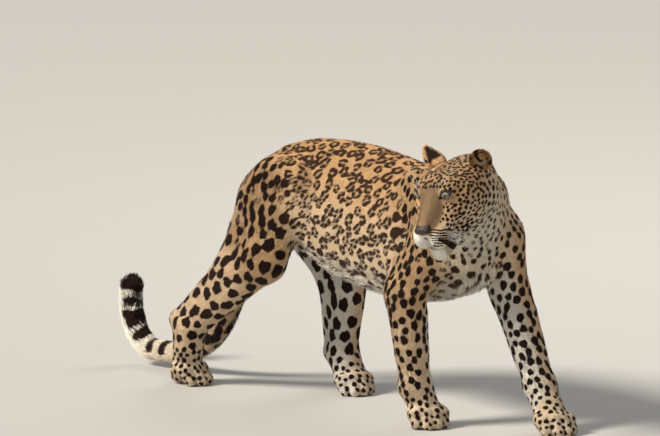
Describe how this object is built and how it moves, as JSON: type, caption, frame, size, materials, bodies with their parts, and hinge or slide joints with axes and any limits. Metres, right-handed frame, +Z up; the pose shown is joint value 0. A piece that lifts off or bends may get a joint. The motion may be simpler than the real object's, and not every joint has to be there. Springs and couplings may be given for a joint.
{
  "type": "leopard",
  "caption": "Life-size leopard walking, its head turned back over its right shoulder, spotted coat, long tail swept low and up at the tip.",
  "frame": {"origin": "on the floor under the middle of the bounding box", "axes": "+X the way the animal walks, +Y to its left, +Z up"},
  "size_m": [1.4598, 0.4462, 0.6815],
  "materials": {
    "fur": "short dense fur, golden tan with black rosettes and spots, cream below",
    "eye": "wet and glossy, pale grey-green iris with a small round pupil",
    "nose": "bare, fine-grained, slightly damp"
  },
  "bodies": {
    "root": {"ear_left": "fur", "ear_right": "fur", "eye_left": "eye", "eye_right": "eye", "fore_left_lower": "fur", "fore_left_paw": "fur", "fore_left_upper": "fur", "fore_right_lower": "fur", "fore_right_paw": "fur", "fore_right_upper": "fur", "head": "fur", "hind_left_lower": "fur", "hind_left_paw": "fur", "hind_left_upper": "fur", "hind_right_lower": "fur", "hind_right_paw": "fur", "hind_right_upper": "fur", "lower_jaw": "fur", "neck": "fur", "nose": "nose", "tail_end": "fur", "tail_hanging": "fur", "tail_root": "fur", "tail_trailing": "fur", "torso": "fur"}
  },
  "joints": []
}
